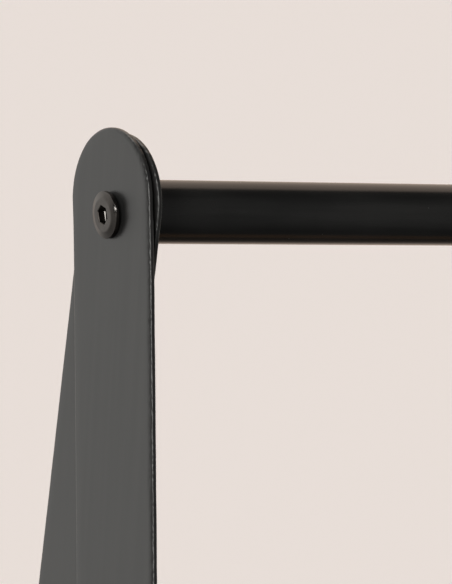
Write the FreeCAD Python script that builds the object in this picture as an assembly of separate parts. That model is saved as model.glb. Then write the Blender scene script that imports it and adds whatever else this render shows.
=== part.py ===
"""Clothes rack with two shelves: two A-shaped ends of flat steel bar, a round hanging rail and board shelves.

Millimetres. X runs along the rail, -Y is the front, +Z is up, and the origin is on the floor, in the middle.
"""
import FreeCAD, Part
import math
import os

Vector = FreeCAD.Vector

# Overall sizes
rack_width = 1000.0             # across the outer faces of the two front legs
rail_height = 1500.0            # floor to the rail's axis
leg_splay_deg = 6.45            # each leg leans this far from the vertical

# Hanging rail
rail_diameter = 19.0
rail_wall = 1.2
insert_length = 30.0            # threaded plug in each end of the rail

# Legs of flat bar
leg_width = 42.0
leg_thickness = 2.1
leg_edge_radius = 0.5
front_tip_above_bolt = 25.8     # along the leg, from the bolt to the round tip
rear_tip_above_bolt = 24.3
leg_bend_radius = 2.0           # inside of the bend above the foot
foot_inset = 21.0               # leg's outer face to the axis of the foot
foot_tab_margin = 14.0          # foot's axis to the free end of the tab
tab_corner_radius = 6.0         # plan corners of the tab's free end
foot_hole_clearance = 0.6       # radial, around the foot's stud

# Rail bolts and the washers between the legs
bolt_below_rail_axis = 1.0      # the plug's thread is this far off the middle of the rail
bolt_diameter = 8.0
bolt_length = 25.0
bolt_head_diameter = 14.5
bolt_head_height = 3.0
bolt_head_round = 1.4
bolt_socket_width = 5.0
bolt_socket_depth = 2.4
bolt_socket_turn_deg = 28.0
bolt_hole_clearance = 0.25      # radial, in the legs and washers
leg_washer_diameter = 16.0
leg_washer_thickness = 0.5

# Shelves
upper_shelf_height = 450.0      # floor to the top of the board
lower_shelf_height = 165.0
board_thickness = 15.0
board_end_gap = 1.0             # board to the rear legs, at each end
edging_thickness = 1.0
angle_width = 25.0
angle_thickness = 2.0
angle_bend_radius = 2.5

# Screws that hold the shelf frames to the legs
leg_screw_diameter = 6.0
leg_screw_length = 16.0
leg_screw_head_diameter = 11.0
leg_screw_head_height = 2.0
leg_screw_head_round = 0.6
leg_screw_socket_width = 4.0
leg_screw_socket_depth = 2.6
leg_screw_hole_clearance = 0.2  # radial
leg_nut_width = 10.0
leg_nut_height = 5.0
leg_spacer_diameter = 14.0

# Screws that hold the boards down
board_screw_diameter = 4.0
board_screw_depth = 9.0         # length in the board
board_screw_head_diameter = 8.0
board_screw_head_height = 2.2
board_screw_hole_clearance = 0.25
board_screw_spacing = 320.0
board_screws_per_side = 3

# Levelling feet
foot_height = 14.0              # floor to the underside of the tab
foot_pad_diameter = 28.0
foot_pad_round = 2.0
stud_diameter = 8.0
stud_length = 22.0              # above the pad
stud_seat_depth = 8.0           # moulded into the pad
stud_running_clearance = 0.05   # radial, in the foot nut
foot_nut_width = 13.0
foot_nut_height = 6.5

# Share of a wall that a rounding may take at most
rounding_limit = 0.5

# Places worked out from the sizes
splay = math.radians(leg_splay_deg)
bolt_height = rail_height - bolt_below_rail_axis
front_leg_face = rack_width / 2
rear_leg_face = front_leg_face - leg_thickness - leg_washer_thickness
rail_end = rear_leg_face - leg_thickness
tab_top = foot_height + leg_thickness
bend_top = tab_top + leg_bend_radius
rail_bore_diameter = rail_diameter - 2 * rail_wall


def leg_offset(z):
    """Distance of a leg's centre line from the middle of the rack at a height; it passes the bolt."""
    return (bolt_height - z) * math.tan(splay)


def cylinder_x(diameter, x_start, x_end, y, z):
    """A round bar along X."""
    return Part.makeCylinder(diameter / 2, x_end - x_start, Vector(x_start, y, z), Vector(1, 0, 0))


def cylinder_z(diameter, z_start, z_end, x, y):
    """A round bar along Z."""
    return Part.makeCylinder(diameter / 2, z_end - z_start, Vector(x, y, z_start), Vector(0, 0, 1))


def polygon_prism(points, direction):
    """A flat polygon pushed along a direction."""
    wire = Part.makePolygon(points + points[:1])
    return Part.Face(wire).extrude(direction)


def hexagon_prism(width, centre, first_axis, second_axis, depth, turn_deg):
    """A hexagonal bar of a width across its flats, along the third axis."""
    corner_radius = width / math.sqrt(3)
    points = []
    for corner in range(6):
        angle = math.radians(60 * corner + turn_deg)
        reach = first_axis * (corner_radius * math.cos(angle))
        reach += second_axis * (corner_radius * math.sin(angle))
        points.append(centre + reach)
    return polygon_prism(points, depth)


def mirrored(shape):
    """The same piece at the other end of the rack."""
    return shape.mirror(Vector(0, 0, 0), Vector(1, 0, 0))


def outline_edges(plate, bottom):
    """The edges along a leg's sides and tip, without those at its lower end or across its thickness."""
    edges = []
    for edge in plate.Edges:
        box = edge.BoundBox
        runs_across = box.XLength > leg_thickness / 2
        at_bottom = box.ZMax < bottom + leg_edge_radius
        if not runs_across and not at_bottom:
            edges.append(edge)
    return edges


def leg_plate(outer_face, side, tip_above_bolt):
    """The straight part of a leg: a bar with a semicircular tip, cut level above the bend."""
    half_width = leg_width / 2
    along = Vector(0, -side * math.sin(splay), math.cos(splay))
    across = Vector(0, math.cos(splay), side * math.sin(splay))
    inner_face = outer_face - leg_thickness
    bolt = Vector(inner_face, 0, bolt_height)
    round_centre = bolt + along * (tip_above_bolt - half_width)
    near = round_centre - across * half_width
    far = round_centre + across * half_width
    tip = round_centre + along * half_width
    foot_centre = side * leg_offset(bend_top)
    foot_reach = half_width / math.cos(splay)
    low_near = Vector(inner_face, foot_centre - foot_reach, bend_top)
    low_far = Vector(inner_face, foot_centre + foot_reach, bend_top)
    edges = [
        Part.LineSegment(low_near, near).toShape(),
        Part.Arc(near, tip, far).toShape(),
        Part.LineSegment(far, low_far).toShape(),
        Part.LineSegment(low_far, low_near).toShape(),
    ]
    plate = Part.Face(Part.Wire(edges)).extrude(Vector(leg_thickness, 0, 0))
    radius = min(leg_edge_radius, rounding_limit * leg_thickness)
    return plate.makeFillet(radius, outline_edges(plate, bend_top))


def foot_tab(outer_face, side):
    """The bend and the level tab at the lower end of a leg, turned inwards."""
    foot_reach = leg_width / 2 / math.cos(splay)
    y_start = side * leg_offset(bend_top) - foot_reach
    inner_face = outer_face - leg_thickness
    bend_start = inner_face - leg_bend_radius
    outer_radius = leg_bend_radius + leg_thickness
    tab_end = outer_face - foot_inset - foot_tab_margin
    diagonal = math.sqrt(0.5)
    centre = Vector(bend_start, y_start, bend_top)
    outer_middle = centre + Vector(outer_radius * diagonal, 0, -outer_radius * diagonal)
    inner_middle = centre + Vector(leg_bend_radius * diagonal, 0, -leg_bend_radius * diagonal)
    outer_top = Vector(outer_face, y_start, bend_top)
    inner_top = Vector(inner_face, y_start, bend_top)
    outer_low = Vector(bend_start, y_start, foot_height)
    inner_low = Vector(bend_start, y_start, tab_top)
    end_low = Vector(tab_end, y_start, foot_height)
    end_high = Vector(tab_end, y_start, tab_top)
    edges = [
        Part.Arc(outer_top, outer_middle, outer_low).toShape(),
        Part.LineSegment(outer_low, end_low).toShape(),
        Part.LineSegment(end_low, end_high).toShape(),
        Part.LineSegment(end_high, inner_low).toShape(),
        Part.Arc(inner_low, inner_middle, inner_top).toShape(),
        Part.LineSegment(inner_top, outer_top).toShape(),
    ]
    tab = Part.Face(Part.Wire(edges)).extrude(Vector(0, 2 * foot_reach, 0))
    near_end = tab_end + leg_thickness / 2
    corners = [edge for edge in tab.Edges
               if edge.BoundBox.XMax < near_end and edge.BoundBox.YLength < foot_reach]
    return tab.makeFillet(tab_corner_radius, corners)


def leg(outer_face, side, tip_above_bolt):
    """A leg of the right-hand end, with the holes for the bolt, the shelf screws and the foot."""
    body = leg_plate(outer_face, side, tip_above_bolt).fuse(foot_tab(outer_face, side))
    inner_face = outer_face - leg_thickness
    bolt_hole = bolt_diameter + 2 * bolt_hole_clearance
    screw_hole = leg_screw_diameter + 2 * leg_screw_hole_clearance
    foot_hole = stud_diameter + 2 * foot_hole_clearance
    holes = [cylinder_x(bolt_hole, inner_face, outer_face, 0, bolt_height)]
    for shelf_height in (upper_shelf_height, lower_shelf_height):
        z = leg_screw_height(shelf_height)
        holes.append(cylinder_x(screw_hole, inner_face, outer_face, side * leg_offset(z), z))
    holes.append(cylinder_z(foot_hole, foot_height, tab_top, outer_face - foot_inset, foot_offset(side)))
    return body.cut(holes).removeSplitter()


def socket_screw(seat, y, z, size, turn_deg):
    """A screw along X with a thin round head outside the seat and a hexagon socket in the head."""
    head = cylinder_x(size["head_diameter"], seat, seat + size["head_height"], y, z)
    top_edges = [edge for edge in head.Edges if edge.BoundBox.XMin > seat + size["head_height"] / 2]
    head = head.makeFillet(min(size["head_round"], rounding_limit * size["head_height"]), top_edges)
    shank = cylinder_x(size["diameter"], seat - size["length"], seat, y, z)
    top = Vector(seat + size["head_height"], y, z)
    depth = Vector(-size["socket_depth"], 0, 0)
    up = Vector(0, 0, 1)
    across = Vector(0, 1, 0)
    socket = hexagon_prism(size["socket_width"], top, up, across, depth, turn_deg)
    return head.fuse(shank).removeSplitter().cut(socket)


def rail_bolt():
    """The bolt through both legs into the rail."""
    size = {
        "diameter": bolt_diameter,
        "length": bolt_length,
        "head_diameter": bolt_head_diameter,
        "head_height": bolt_head_height,
        "head_round": bolt_head_round,
        "socket_width": bolt_socket_width,
        "socket_depth": bolt_socket_depth,
    }
    return socket_screw(front_leg_face, 0, bolt_height, size, bolt_socket_turn_deg)


def leg_washer():
    """The washer between the two legs, on the rail bolt."""
    outer_side = rear_leg_face + leg_washer_thickness
    ring = cylinder_x(leg_washer_diameter, rear_leg_face, outer_side, 0, bolt_height)
    hole_diameter = bolt_diameter + 2 * bolt_hole_clearance
    hole = cylinder_x(hole_diameter, rear_leg_face, outer_side, 0, bolt_height)
    return ring.cut(hole)


def hanging_rail():
    """The round tube between the rear legs."""
    outside = cylinder_x(rail_diameter, -rail_end, rail_end, 0, rail_height)
    return outside.cut(cylinder_x(rail_bore_diameter, -rail_end, rail_end, 0, rail_height))


def rail_insert():
    """The threaded plug pressed into an end of the rail, level with it."""
    plug = cylinder_x(rail_bore_diameter, rail_end - insert_length, rail_end, 0, rail_height)
    return plug.cut(cylinder_x(bolt_diameter, rail_end - insert_length, rail_end, 0, bolt_height))


def board_underside(shelf_height):
    """Height of the underside of a shelf's board."""
    return shelf_height - board_thickness


def leg_screw_height(shelf_height):
    """Height of the screws into the legs: the middle of the angle's free flange."""
    return board_underside(shelf_height) - (angle_thickness + angle_width) / 2


def shelf_half_depth(shelf_height):
    """Middle of the rack to a shelf's front edge, level with the leg's edge at the screws."""
    return leg_offset(leg_screw_height(shelf_height)) + leg_width / 2 / math.cos(splay)


def angle_strip(half_length, out, start, end, low, high):
    """A mitred strip along X between two distances from the outer face at Y = out."""
    points = [
        Vector(start - half_length, out - start, low),
        Vector(half_length - start, out - start, low),
        Vector(half_length - end, out - end, low),
        Vector(end - half_length, out - end, low),
    ]
    return polygon_prism(points, Vector(0, 0, high - low))


def angle_piece(half_length, out, top):
    """A mitred steel angle along X: a level flange on top and a flange down its outer face."""
    low = top - angle_width
    block = angle_strip(half_length, out, 0, angle_width, low, top)
    corner = [edge for edge in block.Edges if edge.BoundBox.YMin > out - angle_thickness / 2
              and edge.BoundBox.ZMin > top - angle_thickness / 2]
    block = block.makeFillet(angle_bend_radius, corner)
    return block.cut(angle_strip(half_length, out, angle_thickness, angle_width, low, top - angle_thickness))


def quarter_turns(shape, turns):
    """A shape turned about the vertical through the middle of the rack."""
    turned = shape.copy()
    turned.rotate(Vector(0, 0, 0), Vector(0, 0, 1), 90 * turns)
    return turned


def board_screw_places(shelf_height):
    """Plan positions of the screws that hold a board down."""
    y = shelf_half_depth(shelf_height) - (angle_thickness + angle_width) / 2
    first = -board_screw_spacing * (board_screws_per_side - 1) / 2
    return [(first + board_screw_spacing * place, side * y)
            for side in (-1, 1) for place in range(board_screws_per_side)]


def shelf_angles(shelf_height):
    """The four mitred angles under a board, with their screw holes."""
    top = board_underside(shelf_height)
    half_depth = shelf_half_depth(shelf_height)
    rear = angle_piece(rail_end, half_depth, top)
    end = angle_piece(half_depth, rail_end, top)
    angles = {
        "rear": rear,
        "front": quarter_turns(rear, 2),
        "left": quarter_turns(end, 1),
        "right": quarter_turns(end, -1),
    }
    z = leg_screw_height(shelf_height)
    leg_hole = leg_screw_diameter + 2 * leg_screw_hole_clearance
    board_hole = board_screw_diameter + 2 * board_screw_hole_clearance
    holes = [cylinder_x(leg_hole, -rail_end, rail_end, side * leg_offset(z), z) for side in (-1, 1)]
    for x, y in board_screw_places(shelf_height):
        holes.append(cylinder_z(board_hole, top - angle_thickness, top, x, y))
    return {name: angle.cut(holes) for name, angle in angles.items()}


def block_between(low, high):
    """A box between two opposite corners."""
    size = high - low
    return Part.makeBox(size.x, size.y, size.z, low)


def shelf_board(shelf_height):
    """The board inside its edging, with pilot holes from below."""
    half_length = rail_end - board_end_gap - edging_thickness
    half_depth = shelf_half_depth(shelf_height) - edging_thickness
    low = board_underside(shelf_height)
    corner = Vector(half_length, half_depth, shelf_height)
    board = block_between(Vector(-half_length, -half_depth, low), corner)
    pilots = [cylinder_z(board_screw_diameter, low, low + board_screw_depth, x, y)
              for x, y in board_screw_places(shelf_height)]
    return board.cut(pilots)


def shelf_edging(shelf_height):
    """The four strips glued round a board."""
    half_length = rail_end - board_end_gap
    half_depth = shelf_half_depth(shelf_height)
    inner_length = half_length - edging_thickness
    inner_depth = half_depth - edging_thickness
    low = board_underside(shelf_height)
    long_corner = Vector(half_length, half_depth, shelf_height)
    end_corner = Vector(half_length, inner_depth, shelf_height)
    long_strip = block_between(Vector(-half_length, inner_depth, low), long_corner)
    end_strip = block_between(Vector(inner_length, -inner_depth, low), end_corner)
    strips = [long_strip, quarter_turns(long_strip, 2), end_strip, quarter_turns(end_strip, 2)]
    return Part.makeCompound(strips)


def leg_screw_seats():
    """Side and head seat of the two shelf screws at the right-hand end."""
    return ((-1, front_leg_face), (1, rear_leg_face))


def both_ends(shapes):
    """A group of separate solids: those given and their mirror images at the other end."""
    return Part.makeCompound(shapes + [mirrored(shape) for shape in shapes])


def leg_screws(shelf_height):
    """The four screws through the legs into a shelf's frame."""
    size = {
        "diameter": leg_screw_diameter,
        "length": leg_screw_length,
        "head_diameter": leg_screw_head_diameter,
        "head_height": leg_screw_head_height,
        "head_round": leg_screw_head_round,
        "socket_width": leg_screw_socket_width,
        "socket_depth": leg_screw_socket_depth,
    }
    z = leg_screw_height(shelf_height)
    return both_ends([socket_screw(seat, side * leg_offset(z), z, size, 0)
                      for side, seat in leg_screw_seats()])


def leg_nuts(shelf_height):
    """The nuts of those screws, behind the angle's flange."""
    z = leg_screw_height(shelf_height)
    seat = rail_end - angle_thickness
    nuts = []
    for side in (-1, 1):
        centre = Vector(seat, side * leg_offset(z), z)
        depth = Vector(-leg_nut_height, 0, 0)
        nut = hexagon_prism(leg_nut_width, centre, Vector(0, 0, 1), Vector(0, 1, 0), depth, 0)
        nuts.append(nut.cut(cylinder_x(leg_screw_diameter, seat - leg_nut_height, seat, centre.y, z)))
    return both_ends(nuts)


def leg_spacers(shelf_height):
    """The rings that fill the space between the front legs and a shelf's frame."""
    z = leg_screw_height(shelf_height)
    y = -leg_offset(z)
    front_inner_face = front_leg_face - leg_thickness
    ring = cylinder_x(leg_spacer_diameter, rail_end, front_inner_face, y, z)
    hole = cylinder_x(leg_screw_diameter + 2 * leg_screw_hole_clearance, rail_end, front_inner_face, y, z)
    return both_ends([ring.cut(hole)])


def board_screws(shelf_height):
    """The screws up through the angles into a board."""
    seat = board_underside(shelf_height) - angle_thickness
    screws = []
    for x, y in board_screw_places(shelf_height):
        head = cylinder_z(board_screw_head_diameter, seat - board_screw_head_height, seat, x, y)
        lower_edges = [edge for edge in head.Edges if edge.BoundBox.ZMax < seat - board_screw_head_height / 2]
        head = head.makeFillet(rounding_limit * board_screw_head_height, lower_edges)
        shank_top = seat + angle_thickness + board_screw_depth
        screws.append(head.fuse(cylinder_z(board_screw_diameter, seat, shank_top, x, y)).removeSplitter())
    return Part.makeCompound(screws)


def foot_offset(side):
    """Distance of a foot's axis from the middle of the rack, with its side's sign."""
    return side * leg_offset(bend_top)


def foot_nut(x, y):
    """The nut fixed on top of a leg's tab."""
    up = Vector(0, 0, foot_nut_height)
    nut = hexagon_prism(foot_nut_width, Vector(x, y, tab_top), Vector(1, 0, 0), Vector(0, 1, 0), up, 0)
    bore = stud_diameter + 2 * stud_running_clearance
    return nut.cut(cylinder_z(bore, tab_top, tab_top + foot_nut_height, x, y))


def foot_stud(x, y):
    """The threaded stud of a levelling foot."""
    return cylinder_z(stud_diameter, foot_height - stud_seat_depth, foot_height + stud_length, x, y)


def foot_pad(x, y):
    """The moulded pad of a levelling foot, which meets the tab when it is screwed right in."""
    pad = cylinder_z(foot_pad_diameter, 0, foot_height, x, y)
    rims = [edge for edge in pad.Edges if edge.BoundBox.ZLength < foot_pad_round]
    pad = pad.makeFillet(min(foot_pad_round, rounding_limit * foot_height), rims)
    return pad.cut(cylinder_z(stud_diameter, foot_height - stud_seat_depth, foot_height, x, y))


nodes = {}


def add_pair(name, shape):
    """A piece of the right-hand end and its mirror image at the left."""
    nodes[name + "_right"] = shape
    nodes[name + "_left"] = mirrored(shape)


nodes["hanging_rail"] = hanging_rail()
add_pair("rail_insert", rail_insert())
add_pair("rail_bolt", rail_bolt())
add_pair("leg_washer", leg_washer())

for leg_name, leg_side, leg_face, leg_tip in (
    ("front", -1, front_leg_face, front_tip_above_bolt),
    ("rear", 1, rear_leg_face, rear_tip_above_bolt),
):
    foot_x = leg_face - foot_inset
    foot_y = foot_offset(leg_side)
    add_pair(leg_name + "_leg", leg(leg_face, leg_side, leg_tip))
    add_pair(leg_name + "_foot_nut", foot_nut(foot_x, foot_y))
    add_pair(leg_name + "_foot_stud", foot_stud(foot_x, foot_y))
    add_pair(leg_name + "_foot_pad", foot_pad(foot_x, foot_y))

for shelf_name, height in (("upper", upper_shelf_height), ("lower", lower_shelf_height)):
    nodes[shelf_name + "_shelf_board"] = shelf_board(height)
    nodes[shelf_name + "_shelf_edging"] = shelf_edging(height)
    nodes[shelf_name + "_board_screws"] = board_screws(height)
    nodes[shelf_name + "_leg_screws"] = leg_screws(height)
    nodes[shelf_name + "_leg_nuts"] = leg_nuts(height)
    nodes[shelf_name + "_leg_spacers"] = leg_spacers(height)
    for angle_name, angle in shelf_angles(height).items():
        nodes[shelf_name + "_angle_" + angle_name] = angle

os.makedirs("parts", exist_ok=True)
for node_name, node_shape in nodes.items():
    print(node_name, len(node_shape.Solids), "solids, valid", node_shape.isValid())
    node_shape.exportStep("parts/" + node_name + ".step")
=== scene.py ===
# %% [markdown]
# # A clothes rack with two shelves
# Two ends of flat black bar, bolted together at the top like a narrow letter A, carry a round hanging rail
# and two board shelves. Plain solids of every bar, screw, board and foot already exist at their real size.
# This lesson dresses them: what shows is rebuilt at a higher resolution, and each surface gets the finish
# that the real rack has. Lengths are in metres, X runs along the rail, -Y is the front and +Z is up.

# %% Load the frame
import math

import bmesh
import bpy
from mathutils import Matrix, Vector, noise


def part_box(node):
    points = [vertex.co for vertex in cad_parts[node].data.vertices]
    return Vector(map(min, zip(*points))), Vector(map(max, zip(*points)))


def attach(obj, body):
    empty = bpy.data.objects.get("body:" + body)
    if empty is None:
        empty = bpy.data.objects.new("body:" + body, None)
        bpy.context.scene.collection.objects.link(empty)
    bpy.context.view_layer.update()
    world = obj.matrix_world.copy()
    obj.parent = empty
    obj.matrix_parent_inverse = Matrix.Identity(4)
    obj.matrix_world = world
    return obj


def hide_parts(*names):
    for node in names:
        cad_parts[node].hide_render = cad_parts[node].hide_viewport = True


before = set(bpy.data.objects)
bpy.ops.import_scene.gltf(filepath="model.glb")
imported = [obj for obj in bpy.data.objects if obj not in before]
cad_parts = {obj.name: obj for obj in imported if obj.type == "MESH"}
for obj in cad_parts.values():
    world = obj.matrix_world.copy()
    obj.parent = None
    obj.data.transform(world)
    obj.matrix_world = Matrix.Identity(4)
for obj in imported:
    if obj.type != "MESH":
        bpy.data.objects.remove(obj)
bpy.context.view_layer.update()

# %% [markdown]
# ## Sizes
# A maker measures the finished frame before covering it. The places of the rail, the bars and the boards
# are read from the boxes round the solids, so the dressed pieces cannot drift away from them. Only what
# a box does not tell, such as the lean of a bar or the radius of an edge, is written down here.

# %% Sizes shared by several pieces
MM = 0.001
ENDS = ("left", "right")
LEGS = ("front", "rear")
SHELVES = ("upper", "lower")
leg_width = 42 * MM
leg_thickness = 2.1 * MM
leg_splay = math.radians(6.45)
rail_low, rail_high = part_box("hanging_rail")
rail_height = (rail_low.z + rail_high.z) / 2
rail_end = rail_high.x
rail_radius = (rail_high.z - rail_low.z) / 2
rail_wall = 1.2 * MM
bolt_low, bolt_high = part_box("rail_bolt_right")
bolt_height = (bolt_low.z + bolt_high.z) / 2


def leg_offset(z):
    """Distance of a leg's centre line from the middle of the rack at a height; it passes the bolt."""
    return (bolt_height - z) * math.tan(leg_splay)


def outward(end):
    """Direction along X from the middle of the rack to one of its ends."""
    return 1 if end == "right" else -1


def depthward(leg):
    """Direction along Y from the middle of the rack to its front or rear legs."""
    return 1 if leg == "rear" else -1


print("rail axis", round(rail_height, 4), "bolts", round(bolt_height, 4), "rail end", round(rail_end, 4))

# %% [markdown]
# ## Shader and geometry maths
# Node trees are easier to read as sums than as boxes and wires. This small class holds one output
# of a node. Adding, taking away, multiplying or dividing it places a Math node, `split` takes a
# vector apart and `make` places any other node. It serves the finishes, the studio's light and the
# trees that shape geometry.

# %% One class for all node trees
class Wire:
    """An output of a node, or a whole tree where no output is given."""

    def __init__(self, tree, output=None):
        self.tree = tree
        self.output = output

    def make(self, kind, settings=None, inputs=None, output=0):
        """Places a node, sets it up, fills or links its sockets and gives one of its outputs."""
        node = self.tree.nodes.new(kind)
        for name, value in (settings or {}).items():
            setattr(node, name, value)
        for name, value in (inputs or {}).items():
            if isinstance(value, Wire):
                self.tree.links.new(value.output, node.inputs[name])
            else:
                node.inputs[name].default_value = value
        return Wire(self.tree, node.outputs[output]) if node.outputs else None

    def math(self, operation, first, second=0.0):
        """A Math node for what has no sign of its own."""
        return self.make("ShaderNodeMath", {"operation": operation}, {0: first, 1: second})

    def split(self):
        """X, Y and Z of a vector."""
        return [self.make("ShaderNodeSeparateXYZ", inputs={0: self}, output=axis) for axis in range(3)]

    def __add__(self, other):
        return self.math("ADD", self, other)

    def __sub__(self, other):
        return self.math("SUBTRACT", self, other)

    def __rsub__(self, other):
        return self.math("SUBTRACT", other, self)

    def __mul__(self, other):
        return self.math("MULTIPLY", self, other)

    def __truediv__(self, other):
        return self.math("DIVIDE", self, other)

    __radd__ = __add__
    __rmul__ = __mul__


def fade(value, start, end):
    """From 0 to 1 as a value goes from start to end, smoothly."""
    limits = {"Value": value, "From Min": start, "From Max": end}
    return value.make("ShaderNodeMapRange", {"interpolation_type": "SMOOTHSTEP"}, limits)


def mix_colour(wire, share, first, second):
    """One colour fading into another: sockets 6 and 7 are a Mix node's colours, output 2 is their mix."""
    return wire.make("ShaderNodeMix", {"data_type": "RGBA"}, {0: share, 6: first, 7: second}, output=2)


# %% [markdown]
# ## Camera
# The rack is seen from close by, past its left end, through a long lens that looks slightly down
# and is tilted a little. The place and the angles were worked out from the straight edges of the
# rail and the bars.

# %% Camera
camera_place = Vector((-1.18501, -1.06386, 1.58233))
camera_yaw = math.radians(34.370)
camera_down = math.radians(4.7103)
camera_roll = math.radians(3.1035)

lens = bpy.data.cameras.new("long_lens")
lens.lens = 265.87
lens.sensor_width = 36.0
lens.clip_start = 0.05
lens.clip_end = 2000.0
camera = bpy.data.objects.new("camera", lens)
bpy.context.scene.collection.objects.link(camera)
aim = Matrix.Rotation(-camera_yaw, 4, "Z") @ Matrix.Rotation(math.pi / 2 - camera_down, 4, "X")
camera.matrix_world = Matrix.Translation(camera_place) @ aim @ Matrix.Rotation(camera_roll, 4, "Z")
bpy.context.scene.camera = camera
print("camera to the rail's end:", round((camera_place - Vector((-rail_end, 0, rail_height))).length, 3))

# %% [markdown]
# ## Studio
# A pale floor runs to the horizon, and a faint glow of its own brings it to the tone of the backdrop. The
# light is a soft surround. Black paint shows mostly what it mirrors, so the surround shapes the rack more
# than its own colour does: bright walls behind it, a dim room in front, soft lights overhead and past the
# right end, and a window at the front left that draws the thin bright lines along the bars' edges.

# %% Floor
floor_reach = 600.0
floor_mesh = bpy.data.meshes.new("studio_floor")
floor_corners = [(x * floor_reach, y * floor_reach, 0) for x, y in ((-1, -1), (1, -1), (1, 1), (-1, 1))]
floor_mesh.from_pydata(floor_corners, [], [(0, 1, 2, 3)])
floor = bpy.data.objects.new("studio_floor", floor_mesh)
bpy.context.scene.collection.objects.link(floor)
floor.visible_glossy = False
floor.visible_diffuse = False
floor.visible_shadow = False

floor_paint = bpy.data.materials.new("studio_floor")
floor_paint.use_nodes = True
floor_shader = floor_paint.node_tree.nodes["Principled BSDF"]
floor_look = {
    "Base Color": (0.86, 0.83, 0.83, 1), "Roughness": 1.0, "Specular IOR Level": 0.0,
    "Emission Color": (1.0, 0.878, 0.819, 1), "Emission Strength": 0.159,
}
for socket, value in floor_look.items():
    floor_shader.inputs[socket].default_value = value
floor_mesh.materials.append(floor_paint)
print("floor reaches", floor_reach, "m to each side")

# %% Surrounding light
left_wall_light = 1.01
right_wall_light = 0.77
window_light = 5.8
ceiling_light = 2.2
room_light = 0.055
fill_light = 0.12
front_left_light = 0.35
right_end_light = 0.9
fill_direction = Vector((0.56, -0.82, 0.08)).normalized()
window_direction = Vector((-0.866, -0.460, 0.19)).normalized()
ceiling_direction = Vector((0.0, 0.35, 0.94)).normalized()
neutral_light = (1.0, 0.985, 0.95, 1)
warm_light = (1.0, 0.80, 0.66, 1)
backdrop_colour = (0.806, 0.730, 0.684, 1)

world = bpy.data.worlds.new("studio")
bpy.context.scene.world = world
world.use_nodes = True
world.node_tree.nodes.clear()
sky = Wire(world.node_tree)
ray = sky.make("ShaderNodeTexCoord")
ray_x, ray_y, ray_z = ray.split()


def towards(direction):
    """How closely a ray points in a direction: 1 where it does."""
    product = {"operation": "DOT_PRODUCT"}
    return sky.make("ShaderNodeVectorMath", product, {0: ray, 1: direction}, output=1)


# Each fade is the soft edge of a light, from where a ray first meets it to where it is full
to_left = fade(ray_x, 0.10, -0.10)
left_wall = to_left * fade(ray_y, 0.15, 0.72) * fade(ray_z, -0.65, -0.15)
right_wall = (1 - to_left) * fade(ray_x, 0.82, 0.66) * fade(ray_y, 0.09, 0.20) * fade(ray_z, -0.75, -0.40)
front_left = fade(ray_x, -0.10, -0.30) * fade(ray_y, -0.10, -0.30)
right_end = fade(ray_x, 0.86, 0.97)
window = fade(towards(window_direction), 0.93, 0.97)
ceiling = fade(towards(ceiling_direction), 0.92, 0.95)
fill = fade(towards(fill_direction), 0.55, 1.0)
strength = left_wall * left_wall_light + right_wall * right_wall_light + window * window_light
strength = strength + ceiling * ceiling_light + room_light + fill * fill_light
strength = strength + front_left * front_left_light + right_end * right_end_light

warm_side = (1 - to_left) * fade(ray_y, 0.0, 0.15) * fade(ray_z, 0.93, 0.83)
tint = mix_colour(sky, warm_side, neutral_light, warm_light)
surround = sky.make("ShaderNodeBackground", inputs={"Color": tint, "Strength": strength})
backdrop = sky.make("ShaderNodeBackground", inputs={"Color": backdrop_colour, "Strength": 1.0})
seen = sky.make("ShaderNodeLightPath")
mixed = sky.make("ShaderNodeMixShader", inputs={0: seen, 1: surround, 2: backdrop})
sky.make("ShaderNodeOutputWorld", inputs={"Surface": mixed})
bpy.context.scene.view_settings.view_transform = "Standard"
print("studio of", len(world.node_tree.nodes), "nodes")

# %% [markdown]
# ## Black coating
# The steel is sprayed with powder and baked: a nearly black, half-gloss skin with a fine orange
# peel, faint streaks along the bar from the rolled sheet beneath, and a few specks of dust. Along
# the bars' edges it gathers in tiny beads, placed by a value named edge that the bars' own points
# hold. The colour hardly changes, so the relief and the gloss carry the look.

# %% Black coating
def new_finish(name):
    """An empty material and the wire that starts its tree."""
    material = bpy.data.materials.new(name)
    material.use_nodes = True
    material.node_tree.nodes.clear()
    return material, Wire(material.node_tree)


def stretched(wire, scale):
    """Object coordinates, scaled along each axis."""
    place = wire.make("ShaderNodeTexCoord", output=3)
    return wire.make("ShaderNodeMapping", inputs={"Vector": place, "Scale": scale})


def cloud(wire, vector, scale, detail=2.0):
    """A noise between 0 and 1."""
    return wire.make("ShaderNodeTexNoise", inputs={"Vector": vector, "Scale": scale, "Detail": detail})


def raised(wire, height, strength, distance):
    """A relief for a shader's Normal socket."""
    values = {"Strength": strength, "Distance": distance, "Height": height}
    return wire.make("ShaderNodeBump", inputs=values)


def surface(wire, colour, roughness, normal, **constants):
    """Closes a finish: the shader with what varies over the surface, and its constant sockets."""
    varying = {"Base Color": colour, "Roughness": roughness, "Normal": normal}
    settings = {name.replace("_", " "): value for name, value in constants.items()}
    shader = wire.make("ShaderNodeBsdfPrincipled", inputs={**varying, **settings})
    wire.make("ShaderNodeOutputMaterial", inputs={"Surface": shader})


peel_scale = 420.0
grain_scale = 2300.0
patch_scale = 35.0
dust_scale = 160.0
bead_scale = 700.0
bead_height = 18.0
coat_relief = 0.06 * MM
dust_colour = (0.07, 0.068, 0.065, 1)


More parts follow.
